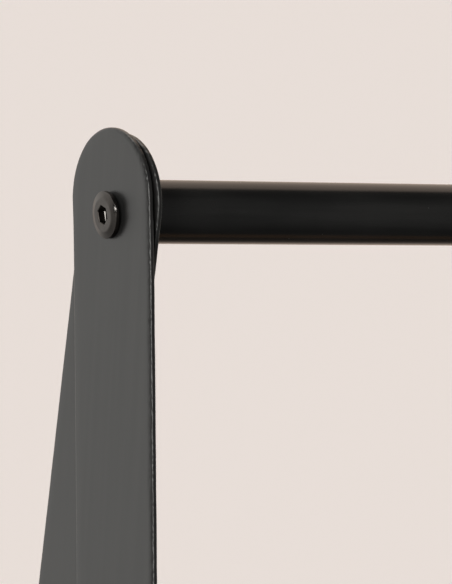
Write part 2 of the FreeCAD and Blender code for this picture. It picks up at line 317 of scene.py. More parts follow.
def coating(name, streak_scale, gloss=0.30, darker=0.013, paler=0.020, shine=0.6):
    """Powder coating on steel, with streaks between a darker and a paler black."""
    material, wire = new_finish(name)
    even = stretched(wire, (1, 1, 1))
    streak = cloud(wire, stretched(wire, streak_scale), 1.0)
    peel = cloud(wire, even, peel_scale, 3.0)
    grain = cloud(wire, even, grain_scale, 1.0)
    patch = cloud(wire, even, patch_scale)
    dust = wire.make("ShaderNodeTexVoronoi", inputs={"Vector": even, "Scale": dust_scale})
    speck = fade(dust, 0.045, 0.02)
    dark = (darker, darker, darker, 1)
    pale = (paler, paler * 0.99, paler * 0.97, 1)
    shade = mix_colour(wire, fade(streak * 0.6 + patch * 0.4, 0.35, 0.65), dark, pale)
    colour = mix_colour(wire, speck * 0.5, shade, dust_colour)
    rough = gloss + streak * 0.05 + patch * 0.03 + speck * 0.2
    edge = wire.make("ShaderNodeAttribute", {"attribute_name": "edge"}, output="Fac")
    bead = cloud(wire, even, bead_scale, 0.0) - 0.5
    height = peel * 0.7 + grain * 0.3 + edge * bead * bead_height
    surface(wire, colour, rough, raised(wire, height, 0.25, coat_relief), Specular_IOR_Level=shine)
    print("finish:", name)
    return material


bar_coating = coating("black_bar_coating", (260, 260, 7))
rail_coating = coating("black_rail_coating", (12, 200, 200), gloss=0.16, darker=0.009, shine=0.5)
long_angle_coating = coating("black_long_angle_coating", (7, 260, 260))
short_angle_coating = coating("black_short_angle_coating", (260, 7, 260))

# %% [markdown]
# ## Mesh helpers
# Turned pieces such as bolts, pads and the rail are stacks of rings. A ring gives a radius and a height
# at each angle, so the same stack makes a round head, a hexagon socket or a nut with chamfered corners.

# %% Rings
def quarter_turn(steps):
    """Sine and cosine of each angle of a quarter turn, taken in equal steps."""
    angles = [math.pi / 2 * step / steps for step in range(steps + 1)]
    return [(math.sin(angle), math.cos(angle)) for angle in angles]


def ring(radius, z):
    """A round ring."""
    return lambda angle: (radius, z)


def six_sided(angle):
    """How much further out a hexagon reaches at an angle than its flats do."""
    sixth = math.pi / 3
    return 1 / math.cos((angle + sixth / 2) % sixth - sixth / 2)


def hexagon(half_width, z):
    """A hexagonal ring, half_width from the middle to its flats."""
    return lambda angle: (half_width * six_sided(angle), z)


def ring_stack(rings, sides, closed=False, worn=lambda number, angle: False):
    """A mesh through the rings in turn, capped at both ends or closed into a loop.

    Faces take the second finish where they are worn, told by their first ring's number and their angle.
    """
    bm = bmesh.new()
    loops = []
    for shape in rings:
        loop = []
        for step in range(sides):
            angle = 2 * math.pi * step / sides
            radius, z = shape(angle)
            loop.append(bm.verts.new((radius * math.cos(angle), radius * math.sin(angle), z)))
        loops.append(loop)
    pairs = list(zip(loops, loops[1:]))
    if closed:
        pairs.append((loops[-1], loops[0]))
    for number, (first, second) in enumerate(pairs):
        for step in range(sides):
            after = (step + 1) % sides
            face = bm.faces.new((first[step], first[after], second[after], second[step]))
            face.material_index = int(worn(number, 2 * math.pi * step / sides))
    if not closed:
        bm.faces.new(loops[0][::-1])
        bm.faces.new(loops[-1]).material_index = int(worn(len(loops) - 1, 0.0))
    return bm


# %% Finished pieces
flat_limit = 0.999


def to_mesh(bm, name, place=Matrix.Identity(4), sharp_from=40):
    """A finished mesh from a bmesh, moved to its place and shaded smooth between sharp edges."""
    bm.transform(place)
    bmesh.ops.recalc_face_normals(bm, faces=bm.faces)
    mesh = bpy.data.meshes.new(name)
    bm.to_mesh(mesh)
    bm.free()
    mesh.shade_smooth()
    mesh.set_sharp_from_angle(angle=math.radians(sharp_from))
    return mesh


def keep_flat(mesh):
    """Keeps the faces square to an axis flat, so that a rounded edge does not shade them."""
    for face in mesh.polygons:
        face.use_smooth = max(abs(part) for part in face.normal) < flat_limit
    return mesh


def add_object(name, mesh, finish=None):
    """A mesh put into the scene, at the origin, with its finish."""
    thing = bpy.data.objects.new(name, mesh)
    bpy.context.scene.collection.objects.link(thing)
    if finish:
        mesh.materials.append(finish)
    return thing


def settle(thing, body, slot, *nodes):
    """Hands a finished piece to the body that carries it, in the place of its plain solids."""
    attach(thing, body)
    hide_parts(*nodes)
    print(thing.name, "rides on", body, "with", len(thing.data.polygons), "faces")


def along_x(end, x, y, z):
    """Turns a piece built along Z so that it points out of an end of the rack."""
    return Matrix.Translation((x, y, z)) @ Matrix.Rotation(outward(end) * math.pi / 2, 4, "Y")


# %% [markdown]
# ## Hanging rail
# A steel tube, cut square, with the sharp edge taken off. It butts against the inner bars. One
# closed stack of rings gives the outside, the bore and the two small chamfers.

# %% Hanging rail
rail_chamfer = 0.25 * MM
rail_bore = rail_radius - rail_wall
rail_sides = 160
rail_lip = [
    (rail_bore, rail_chamfer), (rail_bore + rail_chamfer, 0),
    (rail_radius - rail_chamfer, 0), (rail_radius, rail_chamfer),
]
rail_rings = [ring(radius, -rail_end + inset) for radius, inset in rail_lip]
rail_rings += [ring(radius, rail_end - inset) for radius, inset in reversed(rail_lip)]
rail_bm = ring_stack(rail_rings, rail_sides, closed=True)
rail_mesh = to_mesh(rail_bm, "coated_rail", along_x("right", 0, 0, rail_height))
settle(add_object("coated_rail", rail_mesh, rail_coating), "rack", "coat", "hanging_rail")

# %% [markdown]
# ## Legs of flat bar
# Each leg is cut from a strip, rounded at the tip, bent inwards above the foot and then coated. The
# shears drew its front edge round and left its rear edge crisp. The coating evens both a little,
# and they catch the light. So the model starts from the edge: one closed line round the plate, the
# bend and the tab, on which every place knows its way into the sheet and its way through it. A
# rounded profile follows that line, and flat faces fill it. Each point of the profile keeps how
# near it is to the outermost edge, where the coating has its beads.

# %% The line round a leg
outline_step = 2.5 * MM
tip_steps = 96
bend_steps = 8
bend_radius = 2 * MM
tab_corner = 6 * MM
tab_corner_steps = 8
tip_sway = {"front": 1.2 * MM, "rear": 0.6 * MM}
sway_start = bolt_height - 20 * MM
sway_length = 45 * MM
sway_curve = 1.5


def swayed(point, leg):
    """A point moved with the tip, which leans very slightly off the bar's middle line."""
    share = max(point.z - sway_start, 0) / sway_length
    return point + Vector((0, tip_sway[leg] * share ** sway_curve, 0))


def leg_edge(end, leg):
    """Places round a leg's outer surface, each with its ways in and through, and how many its plate has."""
    low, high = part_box(f"{leg}_leg_{end}")
    lean = depthward(leg) * leg_splay
    along = Vector((0, -math.sin(lean), math.cos(lean)))
    across = Vector((0, math.cos(lean), math.sin(lean)))
    half = leg_width / 2
    inward = -outward(end)
    face, tab_end = (high.x, low.x) if end == "right" else (low.x, high.x)
    above_bolt = (high.z - bolt_height - half) / math.cos(lean)
    round_centre = Vector((face, 0, bolt_height)) + along * above_bolt
    bend_top = low.z + leg_thickness + bend_radius
    foot = Vector((face, depthward(leg) * leg_offset(bend_top), bend_top))
    foot_half = Vector((0, half / math.cos(lean), 0))
    through = Vector((inward, 0, 0))
    up = Vector((0, 0, 1))

    edge = []
    front_start, front_end = foot - foot_half, round_centre - across * half
    rear_start, rear_end = round_centre + across * half, foot + foot_half
    steps = round((front_end - front_start).length / outline_step)
    for step in range(steps):
        edge.append((swayed(front_start.lerp(front_end, step / steps), leg), across, through))
    for step in range(tip_steps + 1):
        angle = math.pi * step / tip_steps
        reach = along * math.sin(angle) - across * math.cos(angle)
        edge.append((swayed(round_centre + reach * half, leg), -reach, through))
    for step in range(1, steps + 1):
        edge.append((swayed(rear_start.lerp(rear_end, step / steps), leg), -across, through))
    plate_count = len(edge)

    bend = []
    outer_radius = bend_radius + leg_thickness
    for sine, cosine in quarter_turn(bend_steps)[1:]:
        shift = Vector((inward * outer_radius * (1 - cosine), 0, -outer_radius * sine))
        bend.append((shift, Vector((inward * cosine, 0, sine))))
    edge += [(rear_end + shift, Vector((0, -1, 0)), turned) for shift, turned in bend]
    for side in (1, -1):
        centre = Vector((tab_end, foot.y + side * foot_half.y, low.z))
        centre -= Vector((inward * tab_corner, side * tab_corner, 0))
        for sine, cosine in quarter_turn(tab_corner_steps)[::side]:
            reach = Vector((inward * sine, side * cosine, 0))
            edge.append((centre + reach * tab_corner, -reach, up))
    edge += [(front_start + shift, Vector((0, 1, 0)), turned) for shift, turned in reversed(bend)]
    return edge, plate_count


print("places round a front leg:", len(leg_edge("left", "front")[0]))

# %% The profile of a coated edge
edge_width = {"front": 2.4 * MM, "rear": 0.8 * MM}
edge_depth = 0.7 * MM
edge_steps = 8
flat_margin = 3.8 * MM
edge_unevenness = 0.14 * MM
rear_trim = 0.2 * MM
edge_width_curve = 3
edge_width_change = 0.35
bead_curve = 2
edge_wave = 9 * MM
fine_wave = 2.7
width_wave_shift = Vector((0, 0, 1))


def wavering(point, wave):
    """A smooth uneven value between about -1 and 1 along an edge."""
    return noise.noise(point / wave) * 0.7 + noise.noise(point / wave * fine_wave) * 0.3


def edge_profile(width):
    """How far in and how deep each ring lies, from a leg's outer face over its edge to its inner face."""
    outer = [(flat_margin, 0.0)]
    for sine, cosine in quarter_turn(edge_steps):
        outer.append((width * (1 - sine), edge_depth * (1 - cosine)))
    return outer + [(inset, leg_thickness - depth) for inset, depth in reversed(outer)]


print("rings of the profile:", len(edge_profile(edge_width["front"])))


# %% Legs of flat bar
def leg_bar(end, leg):
    """A leg as one closed mesh: the profile along its edge, and the flat faces and bend inside it.

    The frontal share of a place is 1 where the edge faces the front and 0 where it faces the rear.
    """
    edge, plate_count = leg_edge(end, leg)
    bm = bmesh.new()
    rounded = bm.verts.layers.float.new("edge")
    columns = []
    for point, inwards, through in edge:
        frontal = 0.5 + 0.5 * inwards.y
        cut = edge_unevenness * (0.5 + 0.5 * wavering(point, edge_wave)) + rear_trim * (1 - frontal)
        front_share = frontal ** edge_width_curve
        width = edge_width["rear"] + (edge_width["front"] - edge_width["rear"]) * front_share
        width *= 1 + edge_width_change * wavering(point + width_wave_shift, edge_wave)
        column = []
        for inset, depth in edge_profile(width):
            column.append(bm.verts.new(point + inwards * (inset + cut) + through * depth))
            column[-1][rounded] = max(1 - inset / width, 0) ** bead_curve
        columns.append(column)
    count = len(columns)
    for place, column in enumerate(columns):
        following = columns[(place + 1) % count]
        for row in range(len(column) - 1):
            bm.faces.new((column[row], following[row], following[row + 1], column[row + 1]))
    for row in (0, -1):
        loop = [column[row] for column in columns]
        rear = loop[plate_count - 1:plate_count + bend_steps]
        front = [loop[0]] + loop[:-bend_steps - 1:-1]
        bm.faces.new(loop[:plate_count])
        for step in range(bend_steps):
            bm.faces.new((rear[step], rear[step + 1], front[step + 1], front[step]))
        bm.faces.new(loop[plate_count + bend_steps - 1:count - bend_steps + 1])
    return to_mesh(bm, f"{leg}_{end}_bar", sharp_from=60)


for end in ENDS:
    for leg in LEGS:
        bar = add_object(f"{leg}_{end}_bar", leg_bar(end, leg), bar_coating)
        settle(bar, "rack", "coat", f"{leg}_leg_{end}")

# %% [markdown]
# ## Finish of the screws
# The screws that show are steel with a thin black-brown plating: a dark metal that mirrors the room
# in its own colour. Nuts, studs and the screws under the boards are zinc plated.

# %% Plating
plating_cloud_scale = 300.0
plating_grain_scale = 2600.0
plating_relief = 0.03 * MM


def plating(name, dark, light, rough):
    """Thin plating on a steel fastener."""
    material, wire = new_finish(name)
    even = stretched(wire, (1, 1, 1))
    cloudy = cloud(wire, even, plating_cloud_scale, 4.0)
    fine = cloud(wire, even, plating_grain_scale)
    colour = mix_colour(wire, fade(cloudy * 0.7 + fine * 0.3, 0.3, 0.7), dark, light)
    roughness = rough + cloudy * 0.12 + fine * 0.05
    surface(wire, colour, roughness, raised(wire, fine, 0.2, plating_relief), Metallic=1.0)
    print("finish:", name)
    return material


black_plating = plating("black_plating", (0.060, 0.0545, 0.051, 1), (0.085, 0.077, 0.0715, 1), 0.24)
rubbed_steel = plating("rubbed_steel", (0.10, 0.095, 0.09, 1), (0.18, 0.172, 0.165, 1), 0.16)
zinc_plating = plating("zinc_plating", (0.50, 0.51, 0.52, 1), (0.62, 0.62, 0.60, 1), 0.26)

# %% [markdown]
# ## Rail bolts
# A bolt with a thin, bevelled head goes through both bars into the end of the rail. Its hole leaves
# it some play, so it sits a little askew, with only the lower edge of its head on the bar. The head
# has a hexagon socket for a key, with a rounded mouth and the cone of the drill at its bottom. Its
# edge is crisp except for a dent where it was once knocked. The plating is rubbed off there and on
# the socket's floor, so both places glint.

# %% Rail bolts
bolt_sides = 120
bolt_radius = 4 * MM
head_radius = 7.0 * MM
head_height = 1.84 * MM
head_crown = 0.66 * MM
head_edge = 0.10 * MM
dent_depth = 0.45 * MM
dent_width = 1.0 * MM
dent_at = math.radians(305)
dent_reach = math.radians(9)
socket_half = 2.5 * MM
socket_depth = 2.2 * MM
socket_turn = math.radians(15.4)
hexagon_corner = math.pi / 6
edge_arc_steps = 4
bevel_steps = 20
head_flat_share = 0.42
bevel_blend = 0.3 * MM
seat_chamfer = 0.15 * MM
key_round = 0.3 * MM
key_round_steps = 4
drill_slope = math.tan(math.radians(43))
drill_tip = 0.1


def socket_head(radius, crown, edge, height, key_half, key_depth, dent=lambda angle: 0.0):
    """Rings of a bevelled screw head, from its seat over its edge to the bottom of its socket.

    It is flat round the socket and falls in a shallow cone to its edge. A dent lowers its rim in places.
    """
    mouth = (key_half + key_round) / math.cos(hexagon_corner) + seat_chamfer
    flat = mouth + head_flat_share * (radius - mouth)
    inner = radius - edge

    def fall(reach):
        past = reach - flat
        if abs(past) < bevel_blend:
            past = (past + bevel_blend) ** 2 / (4 * bevel_blend)
        return crown * max(past, 0) / (radius - flat)

    def bevel_ring(reach, below=0.0, beyond=0.0):
        def shape(angle):
            dented = dent(angle) * (max(reach - radius + dent_width, 0) / dent_width) ** 2
            return reach + beyond, height - fall(reach) - dented - below
        return shape

    rings = [ring(radius - seat_chamfer, 0.0), ring(radius, seat_chamfer)]
    for sine, cosine in quarter_turn(edge_arc_steps)[:-1]:
        rings.append(bevel_ring(inner, edge * (1 - sine), edge * cosine))
    for step in range(bevel_steps + 1):
        rings.append(bevel_ring(inner + (mouth - inner) * step / bevel_steps))
    for sine, cosine in quarter_turn(key_round_steps):
        rings.append(hexagon(key_half + key_round * (1 - sine), height - key_round * (1 - cosine)))
    bottom = height - key_depth
    rings.append(hexagon(key_half, bottom))
    rings.append(ring(key_half * drill_tip, bottom - key_half * (1 - drill_tip) * drill_slope))
    return rings


def knocked(angle):
    """How deep the edge of a rail bolt's head is dented at an angle."""
    away = (angle - dent_at + math.pi) % (2 * math.pi) - math.pi
    return dent_depth * math.exp(-(away / dent_reach) ** 2)


bolt_tilt = math.radians(5)
bolt_yaw = math.radians(2.6)
bolt_shift = 0.3 * MM
bolt_lift = head_radius * math.hypot(math.sin(bolt_tilt), math.sin(bolt_yaw))
bolt_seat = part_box("front_leg_right")[1].x + bolt_lift
bolt_length = bolt_seat - bolt_low.x
bolt_end_chamfer = 0.6 * MM
seat_rings = 2
rubbed_bevel_rings = 4
socket_floor_rings = 2
rubbed_from = 0.35 * dent_depth
bolt_rings = [
    ring(bolt_radius - bolt_end_chamfer, -bolt_length),
    ring(bolt_radius, -bolt_length + bolt_end_chamfer),
    ring(bolt_radius, 0.0),
]
rim_start = len(bolt_rings) + seat_rings
rim_end = rim_start + edge_arc_steps + rubbed_bevel_rings
bolt_rings += socket_head(
    head_radius, head_crown, head_edge, head_height, socket_half, socket_depth, knocked
)


def rubbed(number, angle):
    """Where a rail bolt has lost its plating: in its dent and on the floor of its socket."""
    if number >= len(bolt_rings) - socket_floor_rings:
        return True
    return rim_start <= number < rim_end and knocked(angle) > rubbed_from


for end in ENDS:
    way = outward(end)
    tilt = Matrix.Rotation(way * bolt_tilt, 4, "Y") @ Matrix.Rotation(way * bolt_yaw, 4, "Z")
    turn = Matrix.Rotation(way * (hexagon_corner - socket_turn), 4, "Z")
    place = Matrix.Translation((way * bolt_seat, bolt_shift, bolt_height)) @ tilt
    bolt_bm = ring_stack(bolt_rings, bolt_sides, worn=rubbed)
    bolt_mesh = to_mesh(bolt_bm, f"{end}_bolt", place @ along_x(end, 0, 0, 0) @ turn, sharp_from=30)
    bolt = add_object(f"{end}_bolt", bolt_mesh, black_plating)
    bolt_mesh.materials.append(rubbed_steel)
    settle(bolt, "rack", "dark_fastener", f"rail_bolt_{end}")

# %% [markdown]
# ## Board finish
# The boards are chipboard with a printed oak decor: long grain with arched figure, darker growth lines and
# fine pores that break the gloss. The glued edging carries the same print, with its grain along each strip.

# %% Oak decor
dark_oak = (0.106, 0.058, 0.030, 1)
middle_oak = (0.212, 0.122, 0.068, 1)
light_oak = (0.330, 0.202, 0.115, 1)
pore_colour = (0.050, 0.027, 0.014, 1)
figure_scale = (0.55, 3.2)
fibre_scale = (9, 420)
tone_scale = (0.9, 14)
pore_scale = (38, 1500)
grain_relief = 0.08 * MM


def oak(name, along, shift):
    """Oak decor with its grain along X or Y."""
    material, wire = new_finish(name)

    def grain_space(length_scale, cross_scale):
        scale = (length_scale, cross_scale, cross_scale)
        if along == "y":
            scale = (cross_scale, length_scale, cross_scale)
        place = wire.make("ShaderNodeTexCoord", output=3)
        return wire.make("ShaderNodeMapping", inputs={"Vector": place, "Location": shift, "Scale": scale})

    band_direction = "Y" if along == "x" else "X"
    arched = {"Scale": 2.6, "Distortion": 9.0, "Detail": 3.0, "Detail Scale": 1.1}
    figure = wire.make(
        "ShaderNodeTexWave",
        {"wave_type": "BANDS", "bands_direction": band_direction},
        {"Vector": grain_space(*figure_scale), **arched},
    )
    fibre = cloud(wire, grain_space(*fibre_scale), 1.0, 4.0)
    tone = cloud(wire, grain_space(*tone_scale), 1.0)
    pores = fade(cloud(wire, grain_space(*pore_scale), 1.0), 0.60, 0.70)
    warm = mix_colour(wire, fade(fibre * 0.55 + tone * 0.45, 0.32, 0.68), middle_oak, light_oak)
    lined = mix_colour(wire, fade(figure * 0.7 + fibre * 0.3, 0.42, 0.12) * 0.65, warm, dark_oak)
    colour = mix_colour(wire, pores * 0.55, lined, pore_colour)
    rough = 0.40 + fibre * 0.10 + pores * 0.18
    surface(wire, colour, rough, raised(wire, fibre * 0.4 - pores * 0.6, 0.30, grain_relief))
    print("finish:", name)
    return material


board_oak = oak("board_oak", "x", (0, 0, 0))
long_edging_oak = oak("long_edging_oak", "x", (0.37, 0.11, 0.05))
end_edging_oak = oak("end_edging_oak", "y", (0.21, 0.43, 0.09))

# %% [markdown]
# ## Shelf boards and edging
# Each board is a plain panel. Thin strips are glued round it and trimmed flush, which leaves a
# hairline joint and a very slightly rounded outer edge. Every one is a block with its edges bevelled.

# %% Shelf boards and edging
board_round = 0.15 * MM
board_round_steps = 2
edging_round = 0.35 * MM
edging_round_steps = 3


def soft_block(low, high, radius, steps):
    """A block between two corners with rounded edges."""
    bm = bmesh.new()
    bmesh.ops.create_cube(bm, size=1.0)
    size = high - low
    bm.transform(Matrix.Translation((low + high) / 2) @ Matrix.Diagonal((*size, 1.0)))
    bmesh.ops.bevel(bm, geom=bm.edges[:], offset=radius, segments=steps, profile=0.5, affect="EDGES")
    return bm


def strip_corners(shelf):
    """Lowest and highest corner of the four edging strips, the long ones first."""
    inner_low, inner_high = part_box(f"{shelf}_shelf_board")
    low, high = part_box(f"{shelf}_shelf_edging")
    return [
        (low, Vector((high.x, inner_low.y, high.z))),
        (Vector((low.x, inner_high.y, low.z)), high),
        (Vector((low.x, inner_low.y, low.z)), Vector((inner_low.x, inner_high.y, high.z))),
        (Vector((inner_high.x, inner_low.y, low.z)), Vector((high.x, inner_high.y, high.z))),
    ]


for shelf in SHELVES:
    low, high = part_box(f"{shelf}_shelf_board")
    board_bm = soft_block(low, high, board_round, board_round_steps)
    board_mesh = keep_flat(to_mesh(board_bm, f"{shelf}_board"))
    settle(add_object(f"{shelf}_board", board_mesh, board_oak), "rack", "board", f"{shelf}_shelf_board")
    edging_bm = bmesh.new()
    for number, (low, high) in enumerate(strip_corners(shelf)):
        strip_bm = soft_block(low, high, edging_round, edging_round_steps)
        for face in strip_bm.faces:
            face.material_index = number // 2
        strip_mesh = bpy.data.meshes.new("strip")
        strip_bm.to_mesh(strip_mesh)
        strip_bm.free()
        edging_bm.from_mesh(strip_mesh)
        bpy.data.meshes.remove(strip_mesh)
    edging_mesh = keep_flat(to_mesh(edging_bm, f"{shelf}_edging"))
    edging = add_object(f"{shelf}_edging", edging_mesh, long_edging_oak)
    edging_mesh.materials.append(end_edging_oak)
    settle(edging, "rack", "edging", f"{shelf}_shelf_edging")

# %% [markdown]
# ## Shelf frames
# Under each board lies a frame of four steel angles, folded from sheet, mitred at the corners and
# coated like the bars. A rounded L is drawn once. Each of its points is pulled along the angle and
# ends on the slanted mitre.

# %% Shelf frames
angle_thickness = 2 * MM
angle_bend = 2.5 * MM
angle_edge = 0.4 * MM
angle_round_steps = 5


def angle_section(width):
    """Rounded L: distance in from the outer face, and drop below the top."""
    sharp = [
        ((0, 0), angle_bend), ((width, 0), angle_edge), ((width, angle_thickness), angle_edge),
        ((angle_thickness, angle_thickness), angle_bend - angle_thickness),
        ((angle_thickness, width), angle_edge), ((0, width), angle_edge),
    ]
    points = []
    for number, (corner, radius) in enumerate(sharp):
        corner = Vector(corner)
        back = (Vector(sharp[number - 1][0]) - corner).normalized() * radius
        ahead = (Vector(sharp[(number + 1) % len(sharp)][0]) - corner).normalized() * radius
        points += [corner + back * (1 - s) + ahead * (1 - c) for s, c in quarter_turn(angle_round_steps)]
    return points


def shelf_angle(low, high, side):
    """A mitred angle on the front, rear, left or right of a shelf's frame."""
    lengthwise = side in LEGS
    half_length = high.x if lengthwise else high.y
    out = max(abs(low.y), abs(high.y)) if lengthwise else max(abs(low.x), abs(high.x))
    quarter = {"rear": 0, "left": 1, "front": 2, "right": 3}[side]
    bm = bmesh.new()
    ends = []
    for direction in (-1, 1):
        loop = []
        for inset, drop in angle_section(high.z - low.z):
            loop.append(bm.verts.new((direction * (half_length - inset), out - inset, high.z - drop)))
        ends.append(loop)
    first, second = ends
    for step in range(len(first)):
        after = (step + 1) % len(first)
        bm.faces.new((first[step], first[after], second[after], second[step]))
    bm.faces.new(first)
    bm.faces.new(second)
    return bm, Matrix.Rotation(quarter * math.pi / 2, 4, "Z")


for shelf in SHELVES:
    for side in ("front", "rear", "left", "right"):
        angle_bm, turn = shelf_angle(*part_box(f"{shelf}_angle_{side}"), side)
        angle_mesh = keep_flat(to_mesh(angle_bm, f"{shelf}_{side}_angle", turn))
        finish = long_angle_coating if side in LEGS else short_angle_coating
        angle = add_object(f"{shelf}_{side}_angle", angle_mesh, finish)
        settle(angle, "rack", "coat", f"{shelf}_angle_{side}")

# %% [markdown]
# ## Trees for what repeats
# Screws and nuts repeat and threads follow a rule, so two small Geometry Nodes trees make them. One
# sets copies of a model on points, each turned as its point says. The other turns a plain rod into a
# threaded one by moving every point in or out according to its height and its angle round the rod.

# %% Tree that sets copies
def new_tree(name, **sockets):
    """A Geometry Nodes tree with named inputs: the tree, its start and its inputs as wires."""
    tree = bpy.data.node_groups.new(name, "GeometryNodeTree")
    tree.interface.new_socket("Geometry", in_out="OUTPUT", socket_type="NodeSocketGeometry")
    for socket, kind in sockets.items():
        tree.interface.new_socket(socket, in_out="INPUT", socket_type=f"NodeSocket{kind}")
    given = tree.nodes.new("NodeGroupInput")
    return tree, Wire(tree), [Wire(tree, given.outputs[number]) for number in range(len(sockets))]


def close_tree(start, geometry, finish):
    """Ends a tree: real geometry with its finish."""
    solid = start.make("GeometryNodeRealizeInstances", inputs={0: geometry})
    dressed = start.make("GeometryNodeSetMaterial", inputs={"Geometry": solid, "Material": finish})
    start.make("NodeGroupOutput", inputs={0: dressed})


copies_tree, start, (places, model, finish) = new_tree(
    "copies_on_points", Places="Geometry", Model="Object", Finish="Material"
)
model_shape = start.make("GeometryNodeObjectInfo", inputs={"Object": model}, output="Geometry")
turn = start.make("GeometryNodeInputNamedAttribute", {"data_type": "FLOAT_VECTOR"}, {"Name": "turn"})
rotation = start.make("FunctionNodeEulerToRotation", inputs={0: turn})
copied = start.make(
    "GeometryNodeInstanceOnPoints",
    inputs={"Points": places, "Instance": model_shape, "Rotation": rotation},
)
close_tree(start, copied, finish)
print(copies_tree.name, "has", len(copies_tree.nodes), "nodes")

# %% Tree that cuts a thread
thread_sides = 32
rings_per_pitch = 8
thread_depth = 0.54
lead_in_depth = 1.2

thread_tree, start, (radius, pitch, depth, length, ring_count, finish) = new_tree(
    "threaded_rod",
    Radius="Float", Pitch="Float", Depth="Float", Length="Float", Rings="Int", Finish="Material",
)
rod = start.make(
    "GeometryNodeMeshCylinder",
    inputs={"Vertices": thread_sides, "Side Segments": ring_count, "Radius": radius, "Depth": length},
)
place = start.make("GeometryNodeInputPosition")
rod_x, rod_y, rod_z = place.split()
turns = rod_z / pitch - start.math("ARCTAN2", rod_y, rod_x) / (2 * math.pi)
groove = start.math("PINGPONG", turns, 0.5) * 2
lead_in = radius - depth * lead_in_depth + (length * 0.5 - start.math("ABSOLUTE", rod_z))
reach = start.math("MINIMUM", radius - depth * groove, lead_in) / radius
threaded = start.make("ShaderNodeCombineXYZ", inputs={0: rod_x * reach, 1: rod_y * reach, 2: rod_z})
cut = start.make("GeometryNodeSetPosition", inputs={"Geometry": rod, "Position": threaded})
close_tree(start, cut, finish)
print(thread_tree.name, "has", len(thread_tree.nodes), "nodes")


# %% Running a tree
def grown(name, tree, values, mesh):
    """Runs a tree on a mesh with its inputs set, and gives an object with the plain result."""
    thing = add_object(name, mesh)
    modifier = thing.modifiers.new("tree", "NODES")
    modifier.node_group = tree
    for item in tree.interface.items_tree:
        if item.in_out == "INPUT" and item.name in values:
            modifier[item.identifier] = values[item.name]
    graph = bpy.context.evaluated_depsgraph_get()
    result = bpy.data.meshes.new_from_object(thing.evaluated_get(graph), depsgraph=graph)
    thing.modifiers.clear()
    thing.data = result
    result.name = name
    bpy.data.meshes.remove(mesh)
    return thing


def copies(name, mesh, matrices, finish):
    """One object with copies of a mesh at the given places."""
    points = bpy.data.meshes.new("points")
    points.from_pydata([matrix.translation for matrix in matrices], [], [])
    turns = points.attributes.new("turn", "FLOAT_VECTOR", "POINT")
    for entry, matrix in zip(turns.data, matrices):
        entry.vector = matrix.to_euler()
    original = add_object("original", mesh)
    made = grown(name, copies_tree, {"Model": original, "Finish": finish}, points)
    bpy.data.objects.remove(original)
    bpy.data.meshes.remove(mesh)
    return made


thread_sharp_from = math.radians(40)


def threaded_rod(name, rod_radius, rod_pitch, rod_length, finish):
    """A threaded rod along Z, with its middle at the origin."""
    values = {
        "Radius": rod_radius, "Pitch": rod_pitch, "Depth": thread_depth * rod_pitch, "Length": rod_length,
        "Rings": round(rod_length / rod_pitch * rings_per_pitch), "Finish": finish,
    }
    rod = grown(name, thread_tree, values, bpy.data.meshes.new("blank"))
    rod.data.shade_smooth()
    rod.data.set_sharp_from_angle(angle=thread_sharp_from)
    return rod


# %% [markdown]
# ## Screws that hold the shelves to the legs
# Small bolts of the same kind as the rail's go through each leg, a spacer where there is room to
# fill, and the shelf's frame, and are held by a nut. A thread shows where the end stands out of the
# nut. Nobody lines up the sockets of screws by hand, so each copy is turned differently.

# %% Places of the screws
turn_step = math.radians(37)


def fixing_places(node, seat, legs=LEGS):
    """Places where legs are screwed to a shelf's frame, pointing outwards; seat gives the X of each."""
    low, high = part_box(node)
    z = (low.z + high.z) / 2
    spots = []
    for end in ENDS:
        spots += [along_x(end, seat(end, leg), depthward(leg) * leg_offset(z), z) for leg in legs]
    return spots


def leg_face(end, leg):
    """X of a leg's outer face."""
    low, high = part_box(f"{leg}_leg_{end}")
    return high.x if end == "right" else low.x


def each_turned(spots):
    """The same places, each with its own turn."""
    return [spot @ Matrix.Rotation(turn_step * number, 4, "Z") for number, spot in enumerate(spots, 1)]


print("screws of a shelf:", len(fixing_places("upper_leg_screws", leg_face)))

# %% Leg screws
screw_radius = 3 * MM
screw_pitch = 1 * MM
screw_length = 16 * MM
screw_head_radius = 5.5 * MM
screw_head_height = 2 * MM
screw_head_crown = 0.4 * MM
screw_head_edge = 0.3 * MM
screw_socket_half = 2 * MM
screw_socket_depth = 2.6 * MM
screw_neck = 1.5 * MM
screw_neck_radius = screw_radius * 0.8
screw_sides = 48


def leg_screw():
    """A thin-headed screw along Z, its seat at the origin, with its thread below a short neck."""
    thread_length = screw_length - screw_neck / 2
    thread = threaded_rod("thread", screw_radius, screw_pitch, thread_length, black_plating)
    thread.data.transform(Matrix.Translation((0, 0, -screw_length / 2 - screw_neck / 4)))
    rings = [ring(screw_neck_radius, -screw_neck), ring(screw_neck_radius, 0.0)]
    rings += socket_head(
        screw_head_radius, screw_head_crown, screw_head_edge, screw_head_height,
        screw_socket_half, screw_socket_depth,
    )
    bm = ring_stack(rings, screw_sides)
    bm.from_mesh(thread.data)
    old = thread.data
    bpy.data.objects.remove(thread)
    bpy.data.meshes.remove(old)
    return to_mesh(bm, "leg_screw", sharp_from=30)


for shelf in SHELVES:
    spots = each_turned(fixing_places(f"{shelf}_leg_screws", leg_face))
    screws = copies(f"{shelf}_frame_screws", leg_screw(), spots, black_plating)
    settle(screws, "rack", "dark_fastener", f"{shelf}_leg_screws")

# %% Nuts
nut_face_share = 0.96
nut_corner_slope = math.tan(math.radians(30))
nut_mouth = 0.5 * MM


